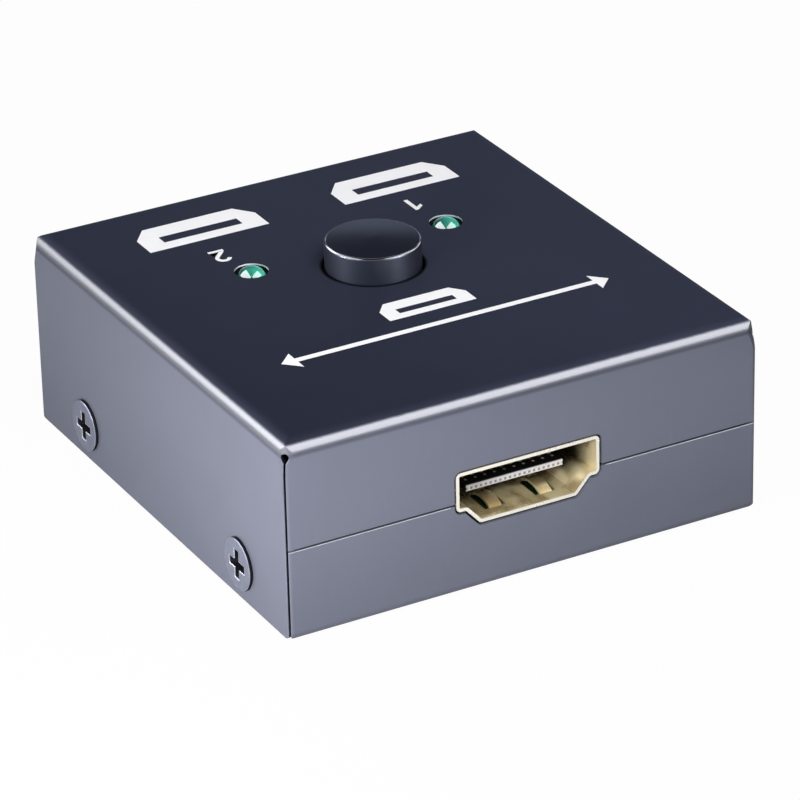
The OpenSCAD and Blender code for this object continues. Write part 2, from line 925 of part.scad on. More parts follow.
// Puts what follows at light 1 or light 2
module at_led(number) {
    translate([number == 1 ? led_x : -led_x, led_y, led_base])
        children();
}

// Domed lens with a flange, cast round the lead frame
module led_lens(number) {
    color("mediumseagreen")
        at_led(number)
            difference() {
                union() {
                    cylinder(d = led_flange_d, h = led_flange_t);
                    cylinder(d = led_d, h = dome_z);
                    translate([0, 0, dome_z])
                        sphere(d = led_d);
                }
                led_frame();
            }
}

module led_leads(number) {
    color("silver")
        at_led(number)
            led_frame();
}

// Two leads: inside the lens a wide anvil and a narrower post, each with a pointed head
module led_frame() {
    lead_foot = board_z - lead_tip - led_base;
    outer = (lead_pitch + lead_t) / 2;
    inner = (lead_pitch - lead_t) / 2;
    step = led_flange_t / 2;
    cast_wall = 0.25;
    lens_in = led_d / 2 - cast_wall;
    post_w = 0.9 * frame_wide;
    along_y(-lead_t / 2, lead_t / 2)
        for (side = [0, 1])
            mirror([side, 0])
                polygon([
                    [outer, lead_foot], [inner, lead_foot], [inner, step],
                    [frame_gap, dome_z - frame_wide], [frame_gap, dome_z],
                    [frame_peak.x, dome_z + frame_peak.y],
                    [side == 1 ? frame_wide : post_w, dome_z],
                    [lens_in, 2 * step], [lens_in, step], [outer, step]]);
}

// Circuit board with the holes for all that is soldered or screwed to it
module circuit_board() {
    edge_r = 1;
    color("darkgreen")
        difference() {
            translate([0, 0, board_z])
                linear_extrude(board_t)
                    rounded_plan(board_w, board_d, edge_r);
            for (place = standoff_places)
                translate([place.x, place.y, board_z - over])
                    cylinder(d = board_hole_d, h = board_t + 2 * over);
            at_every_socket()
                for (x = [-1, 1], depth = leg_depths)
                    translate([x * leg_x, depth, -shell_t - board_t - over])
                        cylinder(d = leg_hole_d, h = board_t + 2 * over);
            translate([0, button_y, board_z - over])
                at_pins()
                    cylinder(d = pin_hole_d, h = board_t + 2 * over);
            for (number = [1, 2], side = [-1, 1])
                at_led(number)
                    translate([side * lead_pitch / 2, 0, board_z - led_base - over])
                        cylinder(d = lead_hole_d, h = board_t + 2 * over);
        }
}

// Threaded standoffs, pressed into the bottom plate
module board_standoffs() {
    color("gainsboro")
        for (place = standoff_places)
            translate([place.x, place.y, 0])
                difference() {
                    union() {
                        cylinder(d = stud_d, h = sheet_t + bite);
                        translate([0, 0, sheet_t])
                            cylinder(d = standoff_d, h = standoff_h);
                    }
                    translate([0, 0, sheet_t])
                        cylinder(d = board_screw_d + 2 * seat_fit, h = standoff_h + over);
                }
}

// Pan-head screws through the board into the standoffs
module board_screws() {
    slot_w = 0.7;
    color("silver")
        for (place = standoff_places)
            translate([place.x, place.y, board_top])
                difference() {
                    union() {
                        cylinder(d = board_head_d, h = board_head_t);
                        translate([0, 0, -board_screw_l])
                            cylinder(d = board_screw_d, h = board_screw_l + bite);
                    }
                    for (turn = [0, 90])
                        rotate(turn)
                            translate([-board_head_d / 4, -slot_w / 2, board_head_t / 2])
                                cube([board_head_d / 2, slot_w, board_head_t]);
                }
}

// Switching chip with a dot at its first corner
module switching_chip() {
    dot_d = 0.7;
    dot_deep = 0.1;
    dot_at = chip_w / 2 - 1;
    color([0.1, 0.1, 0.1])
        translate([0, chip_y, board_top])
            difference() {
                linear_extrude(chip_t)
                    square(chip_w, center = true);
                translate([-dot_at, dot_at, chip_t - dot_deep])
                    cylinder(d = dot_d, h = dot_deep + over);
            }
}

// Protection arrays in a row behind the front socket's feet
module protection_arrays() {
    color([0.15, 0.15, 0.15])
        for (i = [-1.5:1.5])
            translate([i * array_step, array_y, board_top])
                linear_extrude(array_t)
                    square([array_l, array_w], center = true);
}

// Two columns of small parts beside the chip
module passive_columns(x, height) {
    for (side = [-1, 1], i = [-1.5:1.5])
        translate([side * x, chip_y + i * passive_step, board_top])
            linear_extrude(height)
                square([passive_l, passive_w], center = true);
}

module resistors() {
    color([0.1, 0.1, 0.12])
        passive_columns(resistor_x, resistor_t);
}

module capacitors() {
    color("tan")
        passive_columns(capacitor_x, capacitor_t);
}

top_cover();
bottom_cover();
case_screws();
front_socket_shell();
front_socket_insulator();
front_socket_contacts();
port_shell(1);  // port_1_shell
port_insulator(1);  // port_1_insulator
port_contacts(1);  // port_1_contacts
port_shell(2);  // port_2_shell
port_insulator(2);  // port_2_insulator
port_contacts(2);  // port_2_contacts
button_cap();
switch_housing();
switch_cover();
switch_plunger();
switch_spring();
switch_bridge();
switch_pins();
led_lens(1);  // led_1_lens
led_leads(1);  // led_1_leads
led_lens(2);  // led_2_lens
led_leads(2);  // led_2_leads
circuit_board();
board_standoffs();
board_screws();
switching_chip();
protection_arrays();
resistors();
capacitors();
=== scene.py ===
"""Looks of a two-way video switch box: satin slate case, black button, green lights, gold sockets.

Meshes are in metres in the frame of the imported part: +X right, +Y back, +Z up, origin under the case.
Finishes and printed marks are worked out in millimetres.
"""

import math

import bpy
from mathutils import Matrix, Vector


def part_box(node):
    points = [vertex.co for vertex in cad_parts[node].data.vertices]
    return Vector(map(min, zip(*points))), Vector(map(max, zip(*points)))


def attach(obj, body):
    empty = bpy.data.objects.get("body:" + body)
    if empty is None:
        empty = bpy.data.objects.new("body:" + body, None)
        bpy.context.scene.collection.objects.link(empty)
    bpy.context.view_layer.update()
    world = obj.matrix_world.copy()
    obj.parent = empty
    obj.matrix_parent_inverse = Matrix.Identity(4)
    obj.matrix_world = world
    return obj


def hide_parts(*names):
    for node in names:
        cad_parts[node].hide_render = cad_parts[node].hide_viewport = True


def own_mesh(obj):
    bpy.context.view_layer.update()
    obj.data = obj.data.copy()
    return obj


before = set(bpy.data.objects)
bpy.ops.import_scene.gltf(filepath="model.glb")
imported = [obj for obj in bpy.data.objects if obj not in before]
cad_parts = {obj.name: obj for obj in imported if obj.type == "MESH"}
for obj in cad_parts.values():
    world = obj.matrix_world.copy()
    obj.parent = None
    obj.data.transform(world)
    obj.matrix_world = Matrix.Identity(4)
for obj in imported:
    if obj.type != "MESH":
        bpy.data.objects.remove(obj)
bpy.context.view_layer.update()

MM = 0.001

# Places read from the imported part: the button's middle in metres, the others in millimetres
CAP_LOW, CAP_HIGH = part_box("button_cap")
BUTTON = (CAP_LOW + CAP_HIGH) / 2
CAP_TOP = CAP_HIGH.z / MM
CASE_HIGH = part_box("top_cover")[1] / MM
TOP_Z = CASE_HIGH.z
LIGHT = sum(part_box("led_1_lens"), Vector()) / 2 / MM
HEAD_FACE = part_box("case_screws")[1].x / MM
LIP_FACE = -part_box("front_socket_shell")[0].y / MM
TONGUE_FACE = -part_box("front_socket_insulator")[0].y / MM
SOCKET_X = sum(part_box("front_socket_shell"), Vector()).x / 2 / MM
PORT_X = sum(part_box("port_1_shell"), Vector()).x / 2 / MM

# Sheet of the case in millimetres: its bends, with the depths below the top where they carry a painted
# highlight and a painted dark band, and the depths below the outer faces from where painted shade covers the
# cut edges and the inside of the sheet
BEND_R = 1.5
PALE_DEPTH = 0.6 * BEND_R, 0.86 * BEND_R
DARK_BAND_DEPTH = 0.9 * BEND_R
CUT_EDGE_DEPTH = 0.2, 0.3
SHEET_DEPTH = 0.66, 0.76

# How far down the bends at the ends and sides the top's dark finish reaches, and how softly it ends
END_WRAP, SIDE_WRAP, WRAP_SOFT = 0.44, 0.395, 0.13

# Seam between the covers, as its width and its upper side
SEAM_GAP = 0.15
SEAM_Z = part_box("bottom_cover")[1].z / MM + SEAM_GAP

# Holes in the top, and the case screws' places along and up a side
LIGHT_HOLE_R = 1.61
BUTTON_HOLE_R = 4.83
SCREW_MIDDLE, SCREW_APART, SCREW_Z, SCREW_R = -0.55, 15.8, 3.65, 2.5

# Painted shade, from where it starts to thin out to where it ends: above the seam, round a screw and round
# the button
SEAM_SHADE = 0.04, 0.08
SCREW_SHADE = 0.06, 0.16
BUTTON_SHADOW = 0.10, 0.26

# Sockets: the height of the floor, and the middle, half sizes and soft rim of the shadow round a mouth
SOCKET_FLOOR = 6.9
MOUTH_Z, MOUTH_HALF_W, MOUTH_HALF_H, MOUTH_SOFT = 9.0, 8.0, 3.5, 0.1

# Contacts on a socket's tongue: their height over its middle, how far apart both rows' contacts stand, and
# how far their ends stay behind the tongue's face
CONTACT_RISE, CONTACT_APART, CONTACT_BACK = 0.41, 0.5, 1.0
TONGUE_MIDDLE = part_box("front_socket_contacts")[1].z / MM - CONTACT_RISE

# Camera, fitted to the edges of the case in the photograph
CAMERA_TARGET = Vector((0.400, -1.379, 7.0)) * MM
CAMERA_AZIMUTH = -28.303
CAMERA_ELEVATION = 26.850
CAMERA_ROLL = -1.386
CAMERA_DISTANCE = 442.95 * MM
CAMERA_LENS = 213.31
CAMERA_SENSOR = 36
CAMERA_NEAR = 10 * MM


class Wire:
    """A socket of a shader tree that takes part in Python arithmetic, one Math node an operation."""

    def __init__(self, look, socket):
        self.look = look
        self.socket = socket

    def math(self, operation, first, second=0):
        return self.look.node("ShaderNodeMath", {"operation": operation}, {0: first, 1: second})

    def __add__(self, other):
        return self.math("ADD", self, other)

    def __radd__(self, other):
        return self.math("ADD", other, self)

    def __sub__(self, other):
        return self.math("SUBTRACT", self, other)

    def __rsub__(self, other):
        return self.math("SUBTRACT", other, self)

    def __mul__(self, other):
        return self.math("MULTIPLY", self, other)

    def __rmul__(self, other):
        return self.math("MULTIPLY", other, self)

    def __abs__(self):
        return self.math("ABSOLUTE", self)

    def sign(self):
        return self.math("SIGN", self)

    def least(self, other):
        return self.math("MINIMUM", self, other)

    def most(self, other):
        return self.math("MAXIMUM", self, other)

    def fold(self, span):
        """Runs up and down between 0 and a span."""
        return self.math("PINGPONG", self, span)


class Tree:
    """A shader tree with one way to make any of its nodes."""

    def __init__(self, owner):
        owner.use_nodes = True
        self.tree = owner.node_tree
        self.tree.nodes.clear()

    def make(self, kind, settings=None, sockets=None):
        """Makes a node: its settings first, then the values or wires of its sockets."""
        made = self.tree.nodes.new(kind)
        for name, value in (settings or {}).items():
            setattr(made, name, value)
        for name, value in (sockets or {}).items():
            self.feed(made.inputs[name], value)
        return made

    def node(self, kind, settings=None, sockets=None, out=0):
        """Makes a node and gives one of its outputs."""
        return Wire(self, self.make(kind, settings, sockets).outputs[out])

    def feed(self, socket, value):
        if isinstance(value, Wire):
            self.tree.links.new(value.socket, socket)
        else:
            socket.default_value = value

    def rays(self, kind):
        """1 where a ray of one kind arrives, else 0."""
        return self.node("ShaderNodeLightPath", out="Is " + kind + " Ray")

    def mix(self, factor, first, second):
        """Mixes two shaders."""
        return self.node("ShaderNodeMixShader", sockets={0: factor, 1: first, 2: second})


class Look(Tree):
    """One material: a Principled shader and the nodes that feed it."""

    def __init__(self, name):
        self.material = bpy.data.materials.new(name)
        super().__init__(self.material)
        self.shader = self.make("ShaderNodeBsdfPrincipled")
        self.surface = Wire(self, self.shader.outputs[0])
        self.output = self.make("ShaderNodeOutputMaterial", sockets={"Surface": self.surface})

    def set(self, **sockets):
        """Feeds the Principled shader's sockets, named with _ for a blank."""
        for name, value in sockets.items():
            self.feed(self.shader.inputs[name.replace("_", " ")], value)
        return self

    def vector(self, operation, sockets, out="Vector"):
        """One operation on vectors or colours."""
        return self.node("ShaderNodeVectorMath", {"operation": operation}, sockets, out)

    def place(self):
        """The point on the piece, in millimetres."""
        point = self.node("ShaderNodeTexCoord", out="Object")
        return self.vector("SCALE", {0: point, "Scale": 1 / MM})

    def axes(self, vector):
        """The three parts of a vector."""
        parts = self.make("ShaderNodeSeparateXYZ", sockets={0: vector})
        return [Wire(self, socket) for socket in parts.outputs]

    def stretch(self, place, x=1.0, y=1.0, z=1.0):
        return self.vector("MULTIPLY", {0: place, 1: (x, y, z)})

    def distance(self, place, x, y):
        """How far a place is from an upright axis."""
        level = self.stretch(place, z=0.0)
        return self.vector("DISTANCE", {0: level, 1: (x, y, 0)}, out="Value")

    def noise(self, place, size, detail=2.0, roughness=0.5, seed=0.0):
        """Cloudy values around 0.5, with blotches of a size in millimetres."""
        return self.node(
            "ShaderNodeTexNoise", {"noise_dimensions": "4D"},
            {"Vector": place, "W": seed, "Scale": 1 / size, "Detail": detail, "Roughness": roughness})

    def step(self, value, low, high, start=0.0, end=1.0):
        """Runs smoothly from start to end as value goes from low to high."""
        return self.node(
            "ShaderNodeMapRange", {"interpolation_type": "SMOOTHSTEP"},
            {"Value": value, "From Min": low, "From Max": high, "To Min": start, "To Max": end})

    def fade(self, value, low, high):
        """Runs smoothly from 1 to 0 as value goes from low to high."""
        return self.step(value, low, high, 1.0, 0.0)

    def blend(self, factor, first, second):
        """Mixes two colours."""
        return self.node("ShaderNodeMix", {"data_type": "RGBA"}, {0: factor, 6: first, 7: second}, out=2)

    def shade(self, colour, factor):
        """A colour made lighter or darker by a factor around 1."""
        tint = colour if isinstance(colour, Wire) else colour[:3]
        return self.vector("SCALE", {0: tint, "Scale": factor})

    def normal(self):
        """The surface's own normal."""
        return self.node("ShaderNodeNewGeometry", out="Normal")

    def rounded(self, radius):
        """The normal with edges rounded to a radius in millimetres, as deburring and plating leave them."""
        return self.node("ShaderNodeBevel", {"samples": 6}, {"Radius": radius * MM})

    def edge(self, rounded):
        """1 along the edges that a rounded normal turns, else 0."""
        same = self.vector("DOT_PRODUCT", {0: rounded, 1: self.normal()}, out="Value")
        return self.fade(same, 0.85, 0.98)

    def bump(self, height, depth, strength=1.0, normal=None):
        """A normal from a height between 0 and 1, standing for a depth in millimetres."""
        sockets = {"Height": height, "Distance": depth * MM, "Strength": strength}
        if normal:
            sockets["Normal"] = normal
        return self.node("ShaderNodeBump", sockets=sockets)


def rgb(red, green, blue):
    return (red, green, blue, 1.0)


# Finish of the case


def top_cover_shadow(look, place):
    """1 where shade is painted: inside the top cover, on its cut edges, along the seam and round the screws,
    else 0.
    """
    across, along, height = look.axes(place)
    from_side = CASE_HIGH.x - abs(across)
    wall = from_side.least(CASE_HIGH.y - abs(along))
    below_bends = look.fade(height, TOP_Z - BEND_R - 0.02, TOP_Z - BEND_R)
    # Painted shade on the cut edges and on the inside of the sheet
    cut_edges = below_bends * look.step(wall, *CUT_EDGE_DEPTH)
    inside = look.step(wall.least(TOP_Z - height), *SHEET_DEPTH)
    between_sides = look.step(from_side, 0.75, 0.9)
    seam = between_sides * look.fade(height - SEAM_Z, *SEAM_SHADE)
    # Painted shadow lies close round a screw's head, above it and towards the front
    above = height - SCREW_Z
    beyond = along - SCREW_MIDDLE
    beyond = beyond - SCREW_APART * beyond.sign()
    reach = beyond * beyond + above * above
    beside = look.fade(reach, *[(SCREW_R + width) ** 2 for width in SCREW_SHADE])
    upper_front = look.step(above - beyond, 0.6, 2.2)
    return cut_edges.most(inside).most(seam).most(beside * upper_front)


def bottom_cover_shadow(look, place):
    """1 where shade is painted: inside the bottom cover and on its cut edges, else 0."""
    _, along, height = look.axes(place)
    wall = (CASE_HIGH.y - abs(along)).least(height)
    return look.step(wall, *CUT_EDGE_DEPTH)


def socket_shadow(look, place):
    """1 close round the sockets' mouths in the front and back, else 0."""
    across, along, height = look.axes(place)
    front = look.fade(along, -1, 1)
    from_socket = front * abs(across - SOCKET_X) + (1 - front) * abs(abs(across) - PORT_X)
    beside = look.fade(from_socket, MOUTH_HALF_W - MOUTH_SOFT, MOUTH_HALF_W + MOUTH_SOFT)
    return beside * look.fade(abs(height - MOUTH_Z), MOUTH_HALF_H - MOUTH_SOFT, MOUTH_HALF_H + MOUTH_SOFT)


def bend_highlights(look, place, slate):
    """Slate with a painted highlight along the bends round the top and a painted dark band under them."""
    from_top = TOP_Z - look.axes(place)[2]
    # Painted highlight on the bends, and a painted dark reflection just under them
    bend = look.fade(from_top, *PALE_DEPTH)
    dark_band = look.fade(abs(from_top - DARK_BAND_DEPTH), 0.08, 0.3)
    return look.blend(bend, look.shade(slate, 1 - 0.24 * dark_band), rgb(0.235, 0.240, 0.268))


def rim_highlight(look, place, slate):
    """Slate with a painted highlight as a paler line along the bottom cover's upper rim."""
    below_seam = SEAM_Z - look.axes(place)[2]
    # Painted highlight along the rim
    painted_highlight = look.fade(below_seam, 0.17, 0.22)
    return look.blend(0.35 * painted_highlight, slate, rgb(0.60, 0.61, 0.66))


def dark_finish(look, place, rubs):
    """1 where the top's dark finish lies, which ends unevenly part of the way down the bends, else 0."""
    across, along, height = look.axes(place)
    towards_side = (CASE_HIGH.y - abs(along)) - (CASE_HIGH.x - abs(across))
    wrap = look.step(towards_side, -0.5, 0.5, END_WRAP, SIDE_WRAP) + 0.06 * (rubs - 0.5)
    outside = look.step(look.axes(look.normal())[2], 0.4, 0.5)
    return look.step(height - TOP_Z + wrap, -WRAP_SOFT, WRAP_SOFT) * outside


def dark_colour(look, place, clouds):
    """Colour of the dark finish, with painted light: darkest at the left front corner, lighter to the right
    back.
    """
    across, along, _ = look.axes(place)
    # Painted light: the dark finish gets lighter towards the right back
    painted_light = look.step(across + 0.5 * along, -45, 15, 0.68, 1.2)
    return look.shade(rgb(0.0225, 0.0256, 0.0440), painted_light + 0.2 * (clouds - 0.5))


def button_painted_shadow(look, place):
    """1 in the painted shadow close round the button's hole, else 0."""
    from_hole = look.distance(place, BUTTON.x / MM, BUTTON.y / MM) - BUTTON_HOLE_R
    return look.fade(from_hole, *BUTTON_SHADOW)


def light_rims(look, place):
    """1 on the walls of the lights' holes, else 0, and their colour: a painted highlight on top, painted
    shade below.
    """
    sunk = TOP_Z - look.axes(place)[2]
    from_light = look.distance(place, LIGHT.x, LIGHT.y).least(look.distance(place, -LIGHT.x, LIGHT.y))
    rim = look.fade(from_light - LIGHT_HOLE_R, 0.03, 0.05) * look.step(sunk, 0.01, 0.02)
    # Painted highlight along the top of each hole's wall, painted shade further down
    shaded_wall = look.step(sunk, 0.14, 0.18)
    return rim, look.blend(shaded_wall, rgb(0.66, 0.67, 0.70), rgb(0.012, 0.013, 0.016))


def slate_metal(name, is_top):
    """Satin slate-grey sheet metal: worn edges with painted highlight, painted shade inside, a dark finish
    on top.
    """
    look = Look(name)
    place = look.place()
    clouds = look.noise(place, 6.0, 3.0, seed=1.0)
    grain = look.noise(place, 0.09, 2.0, 0.6, seed=2.0)
    rubs = look.noise(look.stretch(place, z=0.2), 0.7, 4.0, 0.65, seed=3.0)
    rounded = look.rounded(0.14)
    edge = look.edge(rounded)
    slate = look.shade(rgb(0.198, 0.209, 0.272), 0.95 + 0.10 * clouds)
    slate = look.blend(0.2 * look.step(rubs, 0.55, 0.8), slate, rgb(0.26, 0.27, 0.32))
    # Paler along the edges: partly wear, partly a painted highlight
    slate = look.blend(0.35 * edge, slate, rgb(0.30, 0.31, 0.35))
    if is_top:
        slate = bend_highlights(look, place, slate)
        shadow = top_cover_shadow(look, place)
    else:
        slate = rim_highlight(look, place, slate)
        shadow = bottom_cover_shadow(look, place)
    shadow = shadow.most(edge * socket_shadow(look, place))
    # Painted shade inside, on cut edges, along the seam, round the screws and round the sockets' mouths
    colour = look.blend(shadow, slate, rgb(0.020, 0.021, 0.026))
    metallic = 0.55 - 0.55 * shadow
    roughness = 0.20 + 0.06 * clouds + 0.04 * grain
    if is_top:
        dark = dark_finish(look, place, rubs)
        rim, rim_colour = light_rims(look, place)
        colour = look.blend(dark, colour, dark_colour(look, place, clouds))
        # Painted shadow round the button's hole
        colour = look.shade(colour, 1 - 0.85 * button_painted_shadow(look, place))
        # Painted highlight and shade on the walls of the lights' holes
        colour = look.blend(rim, colour, rim_colour)
        metallic = metallic * (1 - dark) * (1 - rim)
        roughness = roughness + 0.20 * dark
    return look.set(Base_Color=colour, Metallic=metallic, Roughness=roughness, Specular_IOR_Level=0.03,
                    Normal=look.bump(grain, 0.003, 0.3, rounded)).material


# Finishes of the other pieces


def screw_metal():
    """Grey plated screws: painted highlight on edges, painted shade in the recesses and down the heads'
    sides.
    """
    look = Look("screw_plating")
    place = look.place()
    scuffs = look.noise(place, 0.5, 4.0, 0.65, seed=4.0)
    grain = look.noise(place, 0.06, 2.0, 0.6, seed=5.0)
    rounded = look.rounded(0.13)
    # Painted shade deeper than the head's face, in the recesses and down the sides
    sunk = look.step(HEAD_FACE - abs(look.axes(place)[0]), 0.06, 0.09)
    plating = look.blend(look.step(scuffs, 0.4, 0.75), rgb(0.215, 0.230, 0.305), rgb(0.275, 0.290, 0.365))
    # Painted highlight along the edges
    plating = look.blend(look.edge(rounded), plating, rgb(0.94, 0.94, 0.96))
    return look.set(Base_Color=look.blend(sunk, plating, rgb(0.008, 0.008, 0.011)),
                    Metallic=0.6 - 0.6 * sunk, Roughness=0.24 + 0.14 * scuffs + 0.3 * sunk,
                    Specular_IOR_Level=0.05, Normal=look.bump(grain, 0.003, 0.3, rounded)).material


def socket_tint(look, place, gold):
    """Gold of a socket's shell with a pale lip, painted shade along the lip's edges and deep in the mouth.
    """
    _, along, height = look.axes(place)
    depth = LIP_FACE - abs(along)
    lip = look.fade(depth, 0.01, 0.05)
    tint = look.blend(lip, gold, rgb(0.98, 0.95, 0.84))
    # Painted shade along the lip's edges
    tint = look.blend(0.6 * lip * look.edge(look.rounded(0.10)), tint, rgb(0.20, 0.16, 0.09))
    # Painted shade deep in the mouth
    mouth_shade = look.step(depth, 0.4, 4.0) * look.step(height, SOCKET_FLOOR + 0.3, SOCKET_FLOOR + 1.0)
    return look.blend(0.94 * mouth_shade, tint, rgb(0.020, 0.018, 0.010))


def gold_plate(name, colour, rough, metallic=0.75, is_shell=False):
    """Thin gold plating over stamped metal, with fine streaks and a little tarnish."""
    look = Look(name)
    place = look.place()
    streaks = look.noise(look.stretch(place, y=0.12), 0.4, 2.0, 0.5, seed=6.0)
    tarnish = look.noise(look.stretch(place, y=0.8, z=0.5), 1.5, 2.0, 0.4, seed=7.0)
    dull = look.step(tarnish, 0.38, 0.64)
    tint = look.blend(0.8 * dull, colour, rgb(0.29, 0.20, 0.08))
    if is_shell:
        tint = socket_tint(look, place, tint)
    return look.set(Base_Color=tint, Metallic=metallic, Roughness=rough + 0.06 * streaks + 0.08 * dull,
                    Normal=look.bump(streaks, 0.002, 0.12)).material


def socket_moulding():
    """Black moulded plastic; the tongue's bare front edge is pale, with a small mark at each contact."""
    look = Look("socket_moulding")
    place = look.place()
    across, along, height = look.axes(place)
    grain = look.noise(place, 0.08, 2.0, 0.6, seed=8.0)
    behind = TONGUE_FACE - abs(along)
    above = height - TONGUE_MIDDLE
    half = CONTACT_APART / 2
    mark = look.step(across.fold(half), 0.35 * half, 0.75 * half) * look.fade(abs(above), 0.08, 0.16)
    pale = look.blend(0.8 * mark, rgb(0.72, 0.72, 0.77), rgb(0.12, 0.12, 0.15))
    # A painted glint of a contact's end shows in each slot of the tongue's upper face
    slot = look.step((across - SOCKET_X).fold(CONTACT_APART), 0.34, 0.42)
    end = look.fade(abs(behind - CONTACT_BACK), 0.10, 0.18) * slot * look.step(above, 0.2, 0.3)
    black = look.shade(rgb(0.010, 0.010, 0.012), 0.8 + 0.4 * grain)
    black = look.blend(end, black, rgb(0.80, 0.78, 0.68))
    return look.set(Base_Color=look.blend(look.fade(behind, 0.02, 0.08), black, pale),
                    Roughness=0.42 + 0.15 * grain, Specular_IOR_Level=0.3,
                    Normal=look.bump(grain, 0.004, 0.3)).material


def button_plastic():
    """Satin black plastic with a fine eroded texture, a smoother crown and a bright shoulder."""
    look = Look("button_plastic")
    place = look.place()
    grain = look.noise(place, 0.07, 2.0, 0.6, seed=9.0)
    smudge = look.noise(place, 2.2, 3.0, 0.55, seed=10.0)
    crown = look.fade(CAP_TOP - look.axes(place)[2], 0.27, 0.38)
    upward = look.axes(look.normal())[2]
    shoulder = look.step(upward, 0.38, 0.50) * look.fade(upward, 0.86, 0.93)
    plastic = look.shade(rgb(0.0105, 0.0130, 0.0225), 0.85 + 0.3 * smudge)
    return look.set(Base_Color=look.blend(shoulder, plastic, rgb(0.55, 0.56, 0.60)),
                    Metallic=shoulder, Roughness=0.36 - 0.22 * crown + 0.05 * smudge,
                    Specular_IOR_Level=0.6, Specular_Tint=rgb(0.84, 0.88, 1.0),
                    Normal=look.bump(grain, 0.002, 0.2)).material


def led_epoxy():
    """Clear green epoxy, a little cloudy, with a faint painted glow and painted light to one side."""
    look = Look("led_epoxy")
    place = look.place()
    haze = look.noise(place, 0.6, 3.0, 0.5, seed=11.0)
    across = look.axes(place)[0]
    aside = across - LIGHT.x * across.sign()
    # Painted light: brighter towards +X
    colour = look.blend(look.step(aside + haze, -0.6, 1.6), rgb(0.011, 0.115, 0.095), rgb(0.08, 0.62, 0.45))
    # A faint painted glow
    return look.set(Base_Color=colour, Roughness=0.10 + 0.10 * haze, Transmission_Weight=0.25, IOR=1.55,
                    Emission_Color=colour, Emission_Strength=0.22,
                    Coat_Weight=1.0, Coat_Roughness=0.04, Coat_IOR=1.9).material


def tinned_steel():
    """Bright tinned or plain steel with soft scuffs."""
    look = Look("tinned_steel")
    scuffs = look.noise(look.place(), 0.4, 4.0, 0.6, seed=12.0)
    colour = look.blend(scuffs, rgb(0.52, 0.52, 0.52), rgb(0.74, 0.74, 0.73))
    return look.set(Base_Color=colour, Metallic=1.0, Roughness=0.24 + 0.2 * scuffs,
                    Normal=look.bump(scuffs, 0.004, 0.3)).material


def moulded_plastic(name, colour, rough=0.45):
    """Plain moulded plastic with a fine grain."""
    look = Look(name)
    place = look.place()
    grain = look.noise(place, 0.1, 3.0, 0.6, seed=13.0)
    clouds = look.noise(place, 1.5, 2.0, 0.5, seed=14.0)
    return look.set(Base_Color=look.shade(colour, 0.85 + 0.3 * clouds), Roughness=rough + 0.15 * grain,
                    Normal=look.bump(grain, 0.006, 0.4)).material


def board_mask():
    """Green solder mask over fine copper tracks."""
    look = Look("solder_mask")
    place = look.place()
    track_l, track_w, track_gap = 3.2, 0.8, 0.06
    tracks = look.node("ShaderNodeTexBrick", {"offset": 0.5},
                       {"Vector": place, "Scale": 1.0, "Mortar Size": track_gap, "Brick Width": track_l,
                        "Row Height": track_w}, out="Fac")
    weave = look.noise(place, 0.3, 2.0, 0.5, seed=15.0)
    colour = look.blend(tracks, rgb(0.003, 0.028, 0.011), rgb(0.008, 0.06, 0.024))
    return look.set(Base_Color=look.shade(colour, 0.85 + 0.3 * weave), Roughness=0.3 + 0.15 * weave,
                    Normal=look.bump(tracks, 0.02, 0.4)).material


def print_ink():
    """White screen-printed ink, a little uneven."""
    look = Look("print_ink")
    place = look.place()
    screen = look.noise(place, 0.12, 2.0, 0.6, seed=16.0)
    clouds = look.noise(place, 3.0, 2.0, 0.5, seed=17.0)
    return look.set(Base_Color=look.shade(rgb(0.92, 0.92, 0.94), 0.96 + 0.07 * clouds),
                    Roughness=0.5 + 0.2 * screen, Normal=look.bump(screen, 0.003, 0.3)).material


def dress_nodes():
    """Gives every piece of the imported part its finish."""
    gold = gold_plate("socket_gold", rgb(0.90, 0.77, 0.46), 0.19, metallic=0.70, is_shell=True)
    contact = gold_plate("contact_gold", rgb(0.95, 0.88, 0.68), 0.22, metallic=0.2)
    moulding = socket_moulding()
    steel = tinned_steel()
    epoxy = led_epoxy()
    chip = moulded_plastic("chip_plastic", rgb(0.018, 0.018, 0.02), 0.4)
    finishes = {
        "top_cover": slate_metal("case_top_slate", is_top=True),
        "bottom_cover": slate_metal("case_base_slate", is_top=False),
        "case_screws": screw_metal(),
        "button_cap": button_plastic(),
        "switch_housing": moulded_plastic("switch_plastic", rgb(0.05, 0.05, 0.055)),
        "switch_plunger": moulded_plastic("plunger_plastic", rgb(0.75, 0.75, 0.72)),
        "switch_bridge": gold_plate("switch_bronze", rgb(0.6, 0.38, 0.2), 0.26),
        "circuit_board": board_mask(),
        "capacitors": moulded_plastic("capacitor_ceramic", rgb(0.45, 0.32, 0.19)),
    }
    for socket in ("front_socket", "port_1", "port_2"):
        finishes[socket + "_shell"] = gold
        finishes[socket + "_insulator"] = moulding
        finishes[socket + "_contacts"] = contact
    for light in ("led_1", "led_2"):
        finishes[light + "_lens"] = epoxy
        finishes[light + "_leads"] = steel
    for node in ("switching_chip", "protection_arrays", "resistors"):
        finishes[node] = chip
    for node in ("switch_cover", "switch_spring", "switch_pins", "board_standoffs", "board_screws"):
        finishes[node] = steel
    for node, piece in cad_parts.items():
        piece.data.materials.clear()
        piece.data.materials.append(finishes[node])


# Making of pieces


def add_object(name, data):
    """Puts an object into the scene."""
    made = bpy.data.objects.new(name, data)
    bpy.context.scene.collection.objects.link(made)
    return made


